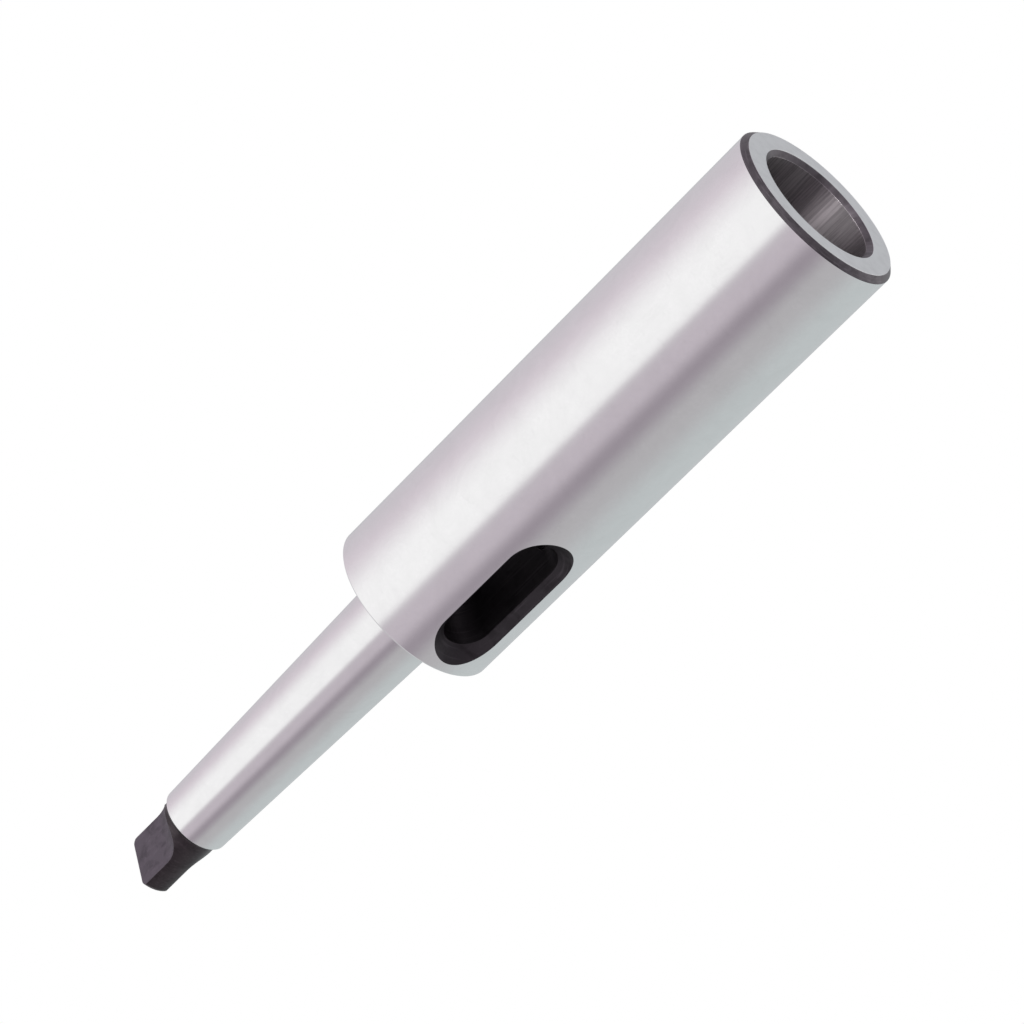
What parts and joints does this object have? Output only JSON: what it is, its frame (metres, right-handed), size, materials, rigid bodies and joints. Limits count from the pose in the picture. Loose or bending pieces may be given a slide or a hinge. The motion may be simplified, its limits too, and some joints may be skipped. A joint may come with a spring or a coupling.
{
  "type": "morse taper sleeve",
  "caption": "Hardened and ground extension sleeve with a tapered shank, flat driving tang, larger tapered socket and a cross slot for the ejecting drift.",
  "frame": {"origin": "centre of the mouth face, the flat ring round the socket that the sleeve stands on", "axes": "+Z along the sleeve's axis from the mouth to the tang; the drift slot goes through along Y; the flats of the tang face +X and -X"},
  "size_m": [0.036, 0.036, 0.1957],
  "materials": {
    "ground_steel": "ground and polished, black oxide in the slot, on the chamfers and on the tang"
  },
  "bodies": {
    "root": {"taper_sleeve": "ground_steel"}
  },
  "joints": []
}
